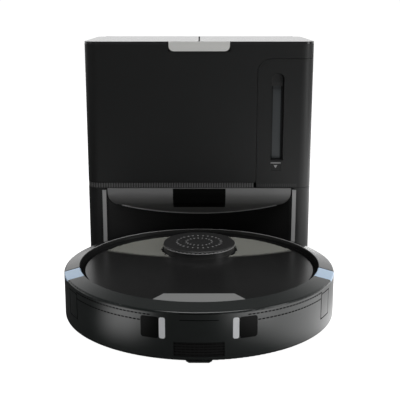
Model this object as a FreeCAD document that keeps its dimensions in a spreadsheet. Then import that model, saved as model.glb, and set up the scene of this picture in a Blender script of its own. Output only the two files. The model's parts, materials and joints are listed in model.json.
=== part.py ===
import FreeCAD, Part
import math
import os
from types import SimpleNamespace

import Sketcher
from FreeCAD import Placement, Rotation, Vector

# A robot vacuum parked in its self-emptying dock.
# Frame: origin on the floor under the middle of the whole, +X right, +Y to the back, +Z up.

doc = FreeCAD.newDocument("docked_robot_vacuum")
sheet = doc.addObject("Spreadsheet::Sheet", "sizes")

SIZES = {
    # robot, round about its own upright axis
    "robot_y": -70.0,
    "robot_radius": 175.5,
    "skin": 3.0,
    "floor_gap": 9.0,
    "tray": 4.0,
    "housing_radius": 168.5,
    "bumper_travel": 2.0,
    "bumper_end": -30.0,
    "rear_ring_end": -27.7,
    "ring_top": 72.4,
    "ring_edge": 67.4,
    "shoulder_round": 3.0,
    "accent_front": -63.0,
    "accent_low": 64.0,
    "ring_inner": 154.9,
    "groove_floor": 60.0,
    "deck_radius": 149.0,
    "deck_top": 65.4,
    "turret_y": 74.5,
    "turret_radius": 50.0,
    "turret_top": 76.5,
    "wheel_x": 107.0,
    "wheel_radius": 27.5,
    "wheel_width": 18.0,
    "hub_radius": 22.5,
    "arm_pivot_y": -45.0,
    "axle_radius": 4.0,
    "running_gap": 0.05,
    "brush_y": 35.0,
    "brush_z": 20.8,
    "brush_radius": 20.0,
    "brush_half": 78.0,
    "side_brush_x": 88.0,
    "side_brush_y": -88.0,
    "caster_y": -125.0,
    "caster_trail": 7.0,
    "caster_radius": 13.0,
    "lens_low": 34.8,
    "lens_high": 59.0,
    # dock
    "dock_half": 161.0,
    "dock_front": 52.0,
    "dock_back": 245.5,
    "dock_corner": 18.0,
    "wall": 3.0,
    "foot": 2.5,
    "plate_top": 6.5,
    "bay_radius": 180.0,
    "tower_top": 143.0,
    "vent_top": 151.0,
    "housing_top": 347.0,
    "lid_top": 350.3,
    "pivot_y": 241.5,
    "pivot_z": 348.65,
    "cup_left": 81.3,
    "cup_back": 172.0,
    "cup_top": 327.0,
    "cup_round": 19.5,
    "seam": 0.5,
    "hood_low": 122.9,
    "hood_slope": 0.55,
    "duct_radius": 13.0,
    "duct_y": 150.0,
    "duct_end_z": 182.0,
    "port_z": 33.0,
    "motor_x": -45.0,
    "motor_y": 155.0,
}
for row, (alias, amount) in enumerate(SIZES.items(), start=1):
    sheet.set(f"A{row}", alias)
    sheet.set(f"B{row}", str(amount))
    sheet.setAlias(f"B{row}", alias)
doc.recompute()


class Size:
    """A length worked out from the sheet: its value now, and the formula that binds it."""

    def __init__(self, value, text):
        self.value = value
        self.text = text

    def joined(self, other, sign, value, flip=False):
        other = size(other)
        first, second = (other, self) if flip else (self, other)
        return Size(value(first.value, second.value), f"({first.text} {sign} {second.text})")

    def __add__(self, other):
        return self.joined(other, "+", lambda a, b: a + b)

    def __radd__(self, other):
        return self.joined(other, "+", lambda a, b: a + b, True)

    def __sub__(self, other):
        return self.joined(other, "-", lambda a, b: a - b)

    def __rsub__(self, other):
        return self.joined(other, "-", lambda a, b: a - b, True)

    def __mul__(self, other):
        return self.joined(other, "*", lambda a, b: a * b)

    def __rmul__(self, other):
        return self.joined(other, "*", lambda a, b: a * b, True)

    def __neg__(self):
        return self * -1


def size(amount):
    """A plain number as a Size; a Size is left as it is."""
    return amount if isinstance(amount, Size) else Size(float(amount), f"{float(amount):.6f}")


s = SimpleNamespace(**{alias: Size(amount, "sizes." + alias) for alias, amount in SIZES.items()})
NODES = []


def bind(obj, **links):
    """Bind properties of an object to sizes; a double underscore stands for a dot."""
    for prop, amount in links.items():
        obj.setExpression(prop.replace("__", "."), size(amount).text)
    return obj


def node(label, obj):
    """Name a finished sub-part."""
    obj.Label = label
    NODES.append(obj)
    return obj


# ---------------------------------------------------------------- primitives and booleans

def block(x, y, z):
    """A box from low to high along each axis."""
    box = doc.addObject("Part::Box", "block")
    bind(box, Length=size(x[1]) - x[0], Width=size(y[1]) - y[0], Height=size(z[1]) - z[0])
    return bind(box, Placement__Base__x=x[0], Placement__Base__y=y[0], Placement__Base__z=z[0])


def rod(radius, at, reach, axis="Z", sweep=360.0, start=0.0):
    """A cylinder along an axis; at gives the other two coordinates, reach its two ends."""
    round_bar = doc.addObject("Part::Cylinder", "rod")
    bind(round_bar, Radius=radius, Height=size(reach[1]) - reach[0])
    round_bar.Angle = sweep
    if axis == "Z":
        turn = Rotation(Vector(0, 0, 1), start)
        place = (at[0], at[1], reach[0])
    elif axis == "X":
        turn = Rotation(Vector(0, 1, 0), 90)
        place = (reach[0], at[0], at[1])
    else:
        turn = Rotation(Vector(1, 0, 0), -90)
        place = (at[0], reach[0], at[1])
    round_bar.Placement = Placement(Vector(0, 0, 0), turn)
    return bind(round_bar, Placement__Base__x=place[0], Placement__Base__y=place[1],
                Placement__Base__z=place[2])


def join(*shapes):
    fused = doc.addObject("Part::MultiFuse", "join")
    fused.Shapes = list(shapes)
    fused.Refine = False
    return fused


def cut(base, *tools):
    removed = doc.addObject("Part::Cut", "cut")
    removed.Base = base
    removed.Tool = tools[0] if len(tools) == 1 else join(*tools)
    return removed


def common(first, second):
    shared = doc.addObject("Part::Common", "common")
    shared.Base = first
    shared.Tool = second
    return shared


def group(*shapes):
    """Separate solids that share one node."""
    together = doc.addObject("Part::Compound", "group")
    together.Links = list(shapes)
    return together


def tube(outer, inner, at, reach, axis="Z", sweep=360.0, start=0.0):
    bore = rod(inner, at, (size(reach[0]) - 1, size(reach[1]) + 1), axis)
    return cut(rod(outer, at, reach, axis, sweep, start), bore)


# ---------------------------------------------------------------- sketched bodies

def sketch_outline(body, plane_role, points, rounds, offset):
    """A closed outline on one of the body's own planes.

    points are (across, up) sizes; rounds maps the side that starts at a point to the radius of
    its arc, positive where the arc bulges to the right of its travel.
    """
    sketch = body.newObject("Sketcher::SketchObject", "outline")
    planes = body.Origin.OriginFeatures
    sketch.AttachmentSupport = [(next(p for p in planes if p.Role == plane_role), "")]
    sketch.MapMode = "FlatFace"
    bind(sketch, AttachmentOffset__Base__z=offset)
    corners = [(size(a), size(b)) for a, b in points]
    count = len(corners)
    for side in range(count):
        (ax, ay), (bx, by) = corners[side], corners[(side + 1) % count]
        start = Vector(ax.value, ay.value, 0)
        end = Vector(bx.value, by.value, 0)
        if side not in rounds:
            sketch.addGeometry(Part.LineSegment(start, end), False)
            continue
        radius = size(rounds[side]).value
        chord = end - start
        right = Vector(chord.y, -chord.x, 0).normalize()
        bulge = 1 if radius > 0 else -1
        rise = abs(radius) - math.sqrt(max(radius * radius - chord.Length ** 2 / 4, 0.0))
        middle = (start + end) * 0.5 + right * (rise * bulge)
        sketch.addGeometry(Part.Arc(start, middle, end), False)
    for side in range(count):
        is_arc = side in rounds
        forward = not is_arc or size(rounds[side]).value > 0
        first = 1 if forward else 2
        across = sketch.addConstraint(
            Sketcher.Constraint("DistanceX", -1, 1, side, first, corners[side][0].value))
        up = sketch.addConstraint(
            Sketcher.Constraint("DistanceY", -1, 1, side, first, corners[side][1].value))
        bind(sketch, **{f"Constraints[{across}]": corners[side][0]})
        bind(sketch, **{f"Constraints[{up}]": corners[side][1]})
        follower = (side + 1) % count
        last = 2 if forward else 1
        turned = follower in rounds and size(rounds[follower]).value < 0
        sketch.addConstraint(Sketcher.Constraint("Coincident", side, last, follower, 2 if turned else 1))
        if is_arc:
            amount = size(rounds[side])
            sign = 1 if amount.value > 0 else -1
            ring = sketch.addConstraint(Sketcher.Constraint("Radius", side, abs(amount.value)))
            bind(sketch, **{f"Constraints[{ring}]": amount * sign})
    return sketch


def slab(points, reach, rounds=None, plane="XY_Plane", at=(0, 0)):
    """A padded outline between two levels along the plane's normal."""
    body = doc.addObject("PartDesign::Body", "body")
    low, high = size(reach[0]), size(reach[1])
    start = -high if plane == "XZ_Plane" else low
    sketch = sketch_outline(body, plane, points, rounds or {}, start)
    pad = body.newObject("PartDesign::Pad", "pad")
    pad.Profile = sketch
    bind(pad, Length=high - low)
    return bind(body, Placement__Base__x=at[0], Placement__Base__y=at[1])


def turned(points, rounds=None, at=(0, 0)):
    """An outline of (radius, height) points turned about an upright axis."""
    body = doc.addObject("PartDesign::Body", "body")
    sketch = sketch_outline(body, "XZ_Plane", points, rounds or {}, 0)
    spin = body.newObject("PartDesign::Revolution", "spin")
    spin.Profile = sketch
    spin.ReferenceAxis = (sketch, ["V_Axis"])
    spin.Angle = 360.0
    return bind(body, Placement__Base__x=at[0], Placement__Base__y=at[1])


def rounded_rectangle(left, right, front, back, radius, reach):
    """A plate with four equal round corners, counter-clockwise from the front left."""
    left, right, front, back = size(left), size(right), size(front), size(back)
    points = [
        (left + radius, front), (right - radius, front), (right, front + radius),
        (right, back - radius), (right - radius, back), (left + radius, back),
        (left, back - radius), (left, front + radius),
    ]
    return slab(points, reach, {1: radius, 3: radius, 5: radius, 7: radius})


ROBOT = (0, s.robot_y)


def robot_point(x, y):
    """A place on the robot, given from the robot's own centre."""
    return size(x), size(y) + s.robot_y


def robot_block(x, y, z):
    return block(x, (size(y[0]) + s.robot_y, size(y[1]) + s.robot_y), z)


def robot_rod(radius, at, reach, axis="Z"):
    """A cylinder given from the robot's own centre."""
    if axis == "Z":
        return rod(radius, robot_point(*at), reach)
    if axis == "X":
        return rod(radius, (size(at[0]) + s.robot_y, at[1]), reach, "X")
    return rod(radius, at, (size(reach[0]) + s.robot_y, size(reach[1]) + s.robot_y), "Y")


def robot_tube(outer, inner, at, reach, axis="Z"):
    grown = (size(reach[0]) - 1, size(reach[1]) + 1)
    return cut(robot_rod(outer, at, reach, axis), robot_rod(inner, at, grown, axis))


def front_sector(outer, inner, low_angle, high_angle, reach):
    """A piece of a ring about the robot; angles are counted from the front towards the right."""
    return tube(outer, inner, ROBOT, reach, "Z", high_angle - low_angle, low_angle - 90.0)


def front_pair(outer, inner, low_angle, high_angle, reach):
    """The same piece of ring on both sides of the front."""
    return (front_sector(outer, inner, low_angle, high_angle, reach),
            front_sector(outer, inner, -high_angle, -low_angle, reach))


# ---------------------------------------------------------------- robot: casing

def ring_outline(wall_inside, underside):
    """Section of the ring's gently falling top and the outer wall, as (radius, height)."""
    bottom_round = 2.5
    edge = 2.5
    points = [
        (s.ring_inner, underside), (wall_inside, underside), (wall_inside, s.floor_gap),
        (s.robot_radius - bottom_round, s.floor_gap), (s.robot_radius, s.floor_gap + bottom_round),
        (s.robot_radius, s.ring_edge - edge - 0.3), (s.robot_radius - edge, s.ring_edge),
        (s.ring_inner + 1.1, s.ring_top), (s.ring_inner, s.ring_top - 1.1),
    ]
    return turned(points, {3: bottom_round, 5: s.shoulder_round}, ROBOT)


def robot_casing():
    chassis_disc = robot_rod(s.housing_radius - 2.5, (0, 0), (s.floor_gap, s.floor_gap + s.tray))
    tray_top = s.floor_gap + s.tray
    under = s.floor_gap - 1
    over = tray_top + 1
    wells = [robot_block((80, 122), (-56, 36), (under, over)),
             robot_block((-122, -80), (-56, 36), (under, over)),
             robot_block((-84, 84), (12, 58), (under, over)),
             robot_rod(25, (0, s.caster_y), (under, over)),
             robot_rod(4, (s.side_brush_x, s.side_brush_y), (under, over)),
             robot_block((30, 50), (82, 102), (under, s.floor_gap + 1.2)),
             robot_block((-50, -30), (82, 102), (under, s.floor_gap + 1.2))]
    plate = cut(chassis_disc, *wells)
    chamber = cut(robot_block((-88, 88), (9, 61), (tray_top - 0.5, 46)),
                  robot_block((-84, 84), (12, 58), (tray_top - 1, 43.5)),
                  robot_block((-40, 40), (57, 62), (18, 38)),
                  robot_rod(3.05, (s.brush_y, s.brush_z), (-90, 90), "X"))
    caster_well = cut(robot_rod(27, (0, s.caster_y), (tray_top - 0.5, 44)),
                      robot_rod(25, (0, s.caster_y), (tray_top - 1, 42)),
                      robot_rod(4.06, (0, s.caster_y), (41, 45)))
    boss = robot_tube(8, 4.06, (0, s.caster_y), (32, 42.5))
    ears = [robot_block((79, 83.5), (-52, -38), (tray_top - 0.5, 38)),
            robot_block((-83.5, -79), (-52, -38), (tray_top - 0.5, 38))]
    pin_hole = robot_rod(s.axle_radius + s.running_gap, (s.arm_pivot_y, 30), (-85, 85), "X")
    ear_pair = cut(join(*ears), pin_hole)
    node("robot_chassis", join(plate, chamber, caster_well, boss, ear_pair))

    top_low = s.groove_floor - 3
    wall = robot_tube(s.housing_radius, s.housing_radius - 2.5, (0, 0), (s.floor_gap + 0.5, s.groove_floor))
    roof = robot_rod(s.housing_radius - 1, (0, 0), (top_low, s.groove_floor))
    node("robot_housing", cut(join(wall, roof),
                              robot_rod(15.5, (0, s.turret_y), (top_low - 1, s.groove_floor + 1)),
                              robot_block((-24.5, 24.5), (150, 173), (21.5, 44.5))))

    rear = ring_outline(s.housing_radius + 0.5, s.groove_floor)
    behind = robot_block((-180, 180), (s.rear_ring_end, 180), (0, 80))
    node("rear_ring", cut(common(rear, behind),
                          robot_block((-22.6, 22.6), (160, 183), (23, 43))))

    edge = 0.8
    disc = turned([(0, s.groove_floor), (s.deck_radius, s.groove_floor), (s.deck_radius, s.deck_top - edge),
                   (s.deck_radius - edge, s.deck_top), (0, s.deck_top)], {2: edge}, ROBOT)
    recess = (s.deck_top - 0.6, s.deck_top + 1)
    node("deck_plate", cut(disc, inlay_plate(recess), crescent(0, (61, 67)),
                           robot_rod(44, (0, s.turret_y), (59, 67))))
    node("deck_inlay", inlay_plate((s.deck_top - 0.6, s.deck_top)))
    node("side_accents", common(ring_outline(s.robot_radius - s.skin, s.groove_floor), accent_band()))


def accent_band():
    """The part of the ring that the coloured insets fill, on both sides."""
    return robot_block((-180, 180), (s.accent_front, s.bumper_end), (s.accent_low, 80))


def inlay_plate(reach):
    """The dotted plate at the back of the deck: the part of the disc inside a wide arc."""
    arc_radius = 275.4
    arc_centre = 308.8
    lens = common(robot_rod(s.deck_radius - 4, (0, 0), reach), robot_rod(arc_radius, (0, arc_centre), reach))
    return cut(lens, robot_rod(s.turret_radius + 4, (0, s.turret_y), (59, 67)))


def crescent(inset, reach):
    """The button's outline: a straight back, slanted ends and a front that follows the deck's edge."""
    half, end_half = 42.5 - inset, 57.5 - inset
    front = 145.0 - inset
    end_y = -math.sqrt(front * front - end_half * end_half)
    points = [(-end_half, end_y), (end_half, end_y), (half, -108.5 - inset), (-half, -108.5 - inset)]
    return slab(points, reach, {0: front}, "XY_Plane", ROBOT)


# ---------------------------------------------------------------- robot: bumper

def bumper():
    inner = s.robot_radius - s.skin
    underside = s.groove_floor + 2.6
    section = ring_outline(inner, underside)
    front_half = robot_block((-180, 180), (-180, s.bumper_end), (0, 80))
    lens_reach = (s.lens_low, s.lens_high)
    side_reach = (27.0, 60.0)
    outer = s.robot_radius + 1
    lens, bar, side = (15.15, 21.95), (12.7, 14.8), (57.2, 65.5)
    window = robot_block((-29, 29), (-180, -160), (13.3, 31.4))
    gaps = [*front_pair(outer, inner - 2, *lens, lens_reach), *front_pair(outer, inner - 2, *bar, lens_reach),
            *front_pair(outer, inner - 2, *side, side_reach), accent_band(), window]
    lip = slab([(-15, 0), (-11.5, -2.3), (11.5, -2.3), (15, 0)],
               (0.5 - s.robot_radius, s.skin - s.robot_radius - 0.3), None, "XZ_Plane", ROBOT)
    bind(lip, Placement__Base__z=s.floor_gap)
    node("bumper", join(cut(common(section, front_half), *gaps), lip))
    face = s.robot_radius - 0.5
    pane = robot_tube(face, inner, (0, 0), (13.3, 31.4))
    node("bumper_windows", group(*front_pair(face, inner, *lens, lens_reach),
                                 *front_pair(face, inner, *side, side_reach),
                                 *front_pair(face, inner, *bar, lens_reach),
                                 common(pane, robot_block((-29, 29), (-180, -160), (13.3, 31.4)))))
    springs = [leaf_spring(side) for side in (-1, 1)]
    node("bumper_springs", group(*springs))


def leaf_spring(side):
    """A bowed strip between the casing and the bumper, at one side of the front."""
    foot, crown, thick = 168.7, 171.8, 0.5
    inside = [(4.0, foot), (7.2, crown), (8.8, crown), (12.0, foot)]
    outside = [(angle, radius + thick) for angle, radius in reversed(inside)]
    points = [(side * radius * math.sin(math.radians(angle)), -radius * math.cos(math.radians(angle)))
              for angle, radius in inside + outside]
    return slab(points, (40, 52), None, "XY_Plane", ROBOT)


# ---------------------------------------------------------------- robot: turret, buttons, insides

def turret():
    centre = robot_point(0, s.turret_y)
    rim = 2.0
    top_low = s.turret_top - 3.2
    cap = turned([(0, top_low), (s.turret_radius, top_low), (s.turret_radius, s.turret_top - rim),
                  (s.turret_radius - rim, s.turret_top), (0, s.turret_top)], {2: rim}, centre)
    base = tube(s.turret_radius, 44, centre, (s.deck_top, s.deck_top + 1.1))
    posts = [tube(46.3, 44.4, centre, (s.deck_top, top_low + 0.5), "Z", 12.0, angle) for angle in (30, 150, 270)]
    node("lidar_cap", join(cap, base, *posts))
    node("lidar_window", tube(s.turret_radius - 0.6, 46.9, centre, (s.deck_top + 1.1, top_low)))
    rotor_low = 62.0
    rotor = join(rod(38, centre, (rotor_low, rotor_low + 2)),
                 robot_block((-22, 22), (s.turret_y - 10, s.turret_y + 10), (rotor_low + 1.5, 71.5)),
                 rod(2, centre, (58, rotor_low + 0.5)))
    node("lidar_rotor", rotor)
    node("lidar_motor", cut(rod(15, centre, (55.8, 61)), rod(2 + s.running_gap, centre, (57.5, 62))))


def button():
    node("clean_button", crescent(0.25, (62.2, s.deck_top + 0.2)))


def insides():
    tray_top = s.floor_gap + s.tray
    node("battery", robot_block((-68, 68), (-75, -5), (tray_top + 0.2, 49)))
    node("robot_board", robot_block((-75, 75), (-95, 5), (51, 52.6)))
    node("robot_fan", join(robot_rod(22, (-92, 90), (tray_top + 0.2, 46)),
                           robot_block((-92, -60.2), (98, 110), (20, 40))))
    shell = cut(robot_block((-60, 60), (63, 150), (tray_top + 0.4, 55)),
                robot_block((-58, 58), (65, 148), (tray_top + 2.4, 53)),
                robot_block((-40, 40), (60, 66), (18, 38)))
    neck = robot_block((-24, 24), (149, 166.8), (22, 44))
    node("robot_dust_bin", cut(join(shell, neck), robot_block((-22, 22), (140, 172), (24, 42))))
    pivot = (168.1, 41.6)
    node("bin_flap", join(robot_block((-21.6, 21.6), (pivot[0] - 0.8, pivot[0] + 0.8), (24.2, 41.8)),
                          robot_rod(0.8, pivot, (-22.2, 22.2), "X")))
    frame = cut(robot_block((-83.8, 83.8), (12.2, 57.8), (s.floor_gap, 12)),
                robot_block((-80.8, 80.8), (16.2, 53.8), (8, 14)))
    node("brush_cover", frame)
    pads = [robot_block((x - 10, x + 10), (82, 102), (s.floor_gap, s.floor_gap + 1.2)) for x in (-40, 40)]
    node("charge_pads", group(*pads))
    node("side_brush_motor", cut(robot_rod(13, (s.side_brush_x, s.side_brush_y), (tray_top + 0.1, 38)),
                                 robot_rod(2.55, (s.side_brush_x, s.side_brush_y), (12, 24))))


# ---------------------------------------------------------------- robot: what turns

def brush_roll():
    centre = (s.brush_y, s.brush_z)
    core = robot_rod(13, centre, (-s.brush_half, s.brush_half), "X")
    pins = robot_rod(3, centre, (-86, 86), "X")
    vanes = []
    for step in range(6):
        vane = doc.addObject("Part::Box", "vane")
        bind(vane, Length=s.brush_half * 2, Width=s.brush_radius, Height=2)
        vane.Placement = Placement(Vector(0, 0, 0), Rotation(Vector(1, 0, 0), 60 * step + 10))
        bind(vane, Placement__Base__x=-s.brush_half, Placement__Base__y=s.brush_y + s.robot_y,
             Placement__Base__z=s.brush_z)
        vanes.append(vane)
    limit = robot_rod(s.brush_radius, centre, (-s.brush_half, s.brush_half), "X")
    node("brush_roll", join(pins, common(join(core, *vanes), limit)))


def side_brush():
    hub_at = (s.side_brush_x, s.side_brush_y)
    hub = join(robot_rod(9, hub_at, (3, 8.4)), robot_rod(2.5, hub_at, (8, 22)))
    arms = []
    for step in range(3):
        arm = doc.addObject("Part::Box", "arm")
        bind(arm, Length=45, Width=6, Height=1.4)
        heading = 15.0 + 120.0 * step
        side = Rotation(Vector(0, 0, 1), heading).multVec(Vector(0, -3, 0))
        arm.Placement = Placement(Vector(0, 0, 0), Rotation(Vector(0, 0, 1), heading))
        bind(arm, Placement__Base__x=s.side_brush_x + side.x,
             Placement__Base__y=s.side_brush_y + s.robot_y + side.y, Placement__Base__z=2.4)
        arms.append(arm)
    node("side_brush", join(hub, *arms))


def caster():
    swivel = (0, s.caster_y)
    axle_y = s.caster_y + s.caster_trail
    axle_z = s.caster_radius
    cheeks = [robot_block((low, low + 2), (axle_y - 4, axle_y + 4), (axle_z - 4, 28)) for low in (-10.5, 8.5)]
    pin = robot_rod(1.6, (axle_y, axle_z), (-10, 10), "X")
    plate = robot_rod(16, swivel, (27, 29.5))
    stem = robot_rod(4, swivel, (29, 41))
    node("caster_fork", join(plate, stem, pin, *cheeks))
    node("caster_wheel", robot_tube(s.caster_radius, 1.65, (axle_y, axle_z), (-8, 8), "X"))


def drive(side, name):
    """One drive wheel on its sprung arm; side is +1 at the right."""
    inner_face = s.wheel_x - s.wheel_width * 0.5
    outer_face = s.wheel_x + s.wheel_width * 0.5
    centre = (0, s.wheel_radius)

    def sided(low, high):
        return (low, high) if side > 0 else (-size(high), -size(low))

    arm = join(robot_block(sided(85, 93), (s.arm_pivot_y - 5, 8), (22, 38)),
               robot_rod(s.axle_radius, (s.arm_pivot_y, 30), sided(79.5, 90), "X"),
               robot_rod(s.axle_radius, centre, sided(92, outer_face - 2), "X"))
    node(f"wheel_arm_{name}", arm)
    reach = sided(inner_face, outer_face)
    node(f"drive_wheel_{name}", robot_tube(s.hub_radius, s.axle_radius + s.running_gap, centre, reach, "X"))
    node(f"tyre_{name}", robot_tube(s.wheel_radius, s.hub_radius, centre, reach, "X"))


# ---------------------------------------------------------------- dock: tower

def footprint(inset, reach):
    return rounded_rectangle(-s.dock_half + inset, s.dock_half - inset, s.dock_front + inset,
                             s.dock_back - inset, s.dock_corner - inset, reach)


def bay_cylinder(grown, reach):
    return rod(s.bay_radius + grown, ROBOT, reach)


def tower():
    low, high = s.plate_top, s.tower_top
    tongue = robot_block((-110, 110), (64, 130), (s.foot, s.plate_top))
    contact_holes = [block((x - 7.3, x + 7.3), (11.7, 32.3), (1, 8)) for x in (-40, 40)]
    node("dock_base_plate", cut(join(footprint(0, (s.foot, s.plate_top)), tongue), *contact_holes))
    feet = [rod(10, place, (0, s.foot)) for place in
            ((-135, 72), (135, 72), (-135, 222), (135, 222), (-90, 6), (90, 6))]
    node("dock_feet", group(*feet))
    rear_gap = block((-110, 110), (230, 250), (15, 135))
    shell = cut(footprint(0, (low, high)), footprint(s.wall, (low - 1, high + 1)),
                bay_cylinder(s.wall, (low - 1, high + 1)), rear_gap)
    node("tower_shell", shell)
    edge_x, edge_y = 137.0, 54.2
    keep = slab([(-128.6, edge_y), (128.6, edge_y), (edge_x, s.dock_front + 0.3), (edge_x, 125),
                 (-edge_x, 125), (-edge_x, s.dock_front + 0.3)], (low, high))
    liner = common(tube(s.bay_radius + s.wall, s.bay_radius, ROBOT, (low, high)), keep)
    node("cavity_liner", cut(liner, block((-24, 24), (105, 118), (s.port_z - 11.5, s.port_z + 11.5))))
    node("rear_cover", rear_cover())
    node("power_inlet", power_inlet())
    board = block((60, 130), (205, 206.6), (20, 110))
    node("dock_board", board)


def hood_outline(deep, skin, high):
    """Side view of a skin: an upright front that rounds over into a slope, and the radius of the bend."""
    bend = 14.0
    slant = math.atan(SIZES["hood_slope"])
    along, down = bend * math.cos(slant), bend * math.sin(slant)
    upright = skin / math.cos(slant)
    front, low = s.dock_front, s.hood_low
    drop = deep * s.hood_slope
    points = [(front, high), (front, low + bend), (front + along, low - down), (front + deep, low - drop),
              (front + deep, low - drop + upright), (front + along + skin * 0.5, low - down + upright),
              (front + skin, low + bend), (front + skin, high)]
    return points, {1: bend / math.tan((math.pi / 2 - slant) / 2)}


def hood():
    """A short upright fascia that rounds over into a slope falling back to the curved wall."""
    half, window_half = 137, 38
    top = s.tower_top - 0.5
    section, rounds = hood_outline(62.0, 3.0, top)
    window, window_rounds = hood_outline(27.0, 1.5, top - 0.5)
    body = common(slab(section, (-half, half), rounds, "YZ_Plane"), bay_cylinder(-0.1, (80, 150)))
    opening = slab(window, (-window_half, window_half), window_rounds, "YZ_Plane")
    node("docking_hood", cut(body, opening))
    node("homing_window", slab(window, (-window_half, window_half), window_rounds, "YZ_Plane"))


def rear_cover():
    plate = rounded_rectangle(-109.5, 109.5, 0, 119, 4, (0, s.wall))
    plate.Placement = Placement(Vector(0, 0, 0), Rotation(Vector(1, 0, 0), 90))
    bind(plate, Placement__Base__y=s.dock_back, Placement__Base__z=15.5)
    holes = [rod(2.05, (x, z), (238, 250), "Y") for x in (-100, 100) for z in (25, 125)]
    seats = [rod(3.8, (x, z), (s.dock_back - 1.6, 250), "Y") for x in (-100, 100) for z in (25, 125)]
    return cut(plate, block((-73, -47), (238, 250), (22, 40)), *holes, *seats)


def power_inlet():
    body = block((-72.8, -47.2), (224, s.dock_back - 0.4), (22.2, 39.8))
    socket = block((-69, -51), (232, 250), (26, 36))
    prongs = [rod(1.2, (x, 31), (230, 240), "Y") for x in (-64, -56)]
    return join(cut(body, socket), *prongs)


def dock_screws():
    bodies = [join(rod(2, (x, z), (234, s.dock_back - 1.0), "Y"),
                   rod(3.6, (x, z), (s.dock_back - 1.6, s.dock_back - 0.2), "Y"))
              for x in (-100, 100) for z in (25, 125)]
    node("dock_screws", group(*bodies))


def contacts():
    for x, name in ((-40, "left"), (40, "right")):
        node(f"charge_contact_{name}", join(block((x - 7, x + 7), (12, 32), (4.5, 7.2)),
                                            block((x - 3, x + 3), (15, 29), (7, 8.8))))


# ---------------------------------------------------------------- dock: upper housing and lid

def cup_outline(inset, reach):
    """The cup's outline seen from the front, run from front to back."""
    left = s.cup_left + inset
    top = s.cup_top - inset
    low = s.tower_top + inset
    curve = s.cup_round - inset
    right = 170
    points = [(left, low), (right, low), (right, top), (left + curve, top), (left, top - curve)]
    return slab(points, reach, {3: curve}, "XZ_Plane")


def bay_block():
    """The dust cup's bay with its walls, as one solid block."""
    return cup_outline(-s.wall, (s.dock_front - 1, s.cup_back + s.wall))


def upper_housing():
    low, high = s.vent_top, s.housing_top
    skin = cut(footprint(0, (low, high)), footprint(s.wall, (low + s.wall, high + 1)))
    ears = [block((low_x, low_x + 6.5), (s.pivot_y - 1.9, s.pivot_y + 2.6), (340, s.lid_top - 0.1))
            for low_x in (-146.9, 140.4)]
    strip = common(footprint(0, (high - 1, s.lid_top)),
                   block((-150, 150), (s.pivot_y + 2.0, 250), (high - 1, 352)))
    tab_backing = block((-46, 46), (s.dock_front + 2, s.dock_front + 7), (333, high))
    tab_room = block((-43.2, 43.2), (50, s.dock_front + 4.3), (336.6, 352))
    pin_holes = rod(0.8, (s.pivot_y, s.pivot_z), (-150, 150), "X")
    outlet = block((-30, 30), (95, 215), (149, 155))
    node("upper_housing", cut(join(skin, strip, tab_backing, *ears), cup_outline(0, (40, s.cup_back)), tab_room,
                              pin_holes, duct_solid(14.5), outlet))


def inner_frame():
    """The walls of the cup's bay and the shelves for the motor and the filter."""
    inside = footprint(s.wall, (s.vent_top + s.wall, s.housing_top))
    bay = cut(common(bay_block(), inside), cup_outline(0, (40, s.cup_back)))
    filter_shelf = cut(footprint(s.wall, (296, 299)), block((-130, 60), (90, 225), (290, 305)), bay_block())
    motor_shelf = cut(footprint(s.wall, (176, 178.5)), rod(38, (s.motor_x, s.motor_y), (170, 180)), bay_block())
    node("inner_frame", cut(join(bay, filter_shelf, motor_shelf), duct_solid(14.5)))


def vent_band():
    low, high = s.tower_top, s.vent_top
    ring = cut(footprint(1.2, (low, high)), footprint(5, (low - 1, high + 1)), cup_outline(-3, (40, s.cup_back + 3)))
    node("vent_band", ring)


def lid():
    low = s.housing_top + 0.1
    barrel = 1.65
    plate = common(footprint(0, (low, s.lid_top)), block((-170, 170), (50, s.pivot_y), (340, 352)))
    notches = [block(reach, (s.pivot_y - 2.5, 250), (340, 352)) for reach in ((-170, -140), (140, 170))]
    groove = block((-1.1, 1.1), (40, 250), (s.lid_top - 0.8, 352))
    tab_room = block((-42.5, 42.5), (50, s.dock_front + 4), (340, 352))
    whole = cut(join(plate, rod(barrel, (s.pivot_y, s.pivot_z), (-140, 140), "X")), *notches, groove,
                tab_room, rod(0.85, (s.pivot_y, s.pivot_z), (-145, 145), "X"))
    node("top_lid", whole)
    pins = [rod(0.8, (s.pivot_y, s.pivot_z), reach, "X") for reach in ((-146.9, -125), (125, 146.9))]
    node("lid_hinge_pins", group(*pins))
    half, round_corner, tab_low = 42.5, 7.0, 337.0
    tab = slab([(-half + round_corner, tab_low), (half - round_corner, tab_low), (half, tab_low + round_corner),
                (half, s.lid_top), (-half, s.lid_top), (-half, tab_low + round_corner)],
               (s.dock_front, s.dock_front + 4), {1: round_corner, 5: round_corner}, "XZ_Plane")
    node("lid_finger_tab", tab)


# ---------------------------------------------------------------- dock: dust cup and air path

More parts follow.
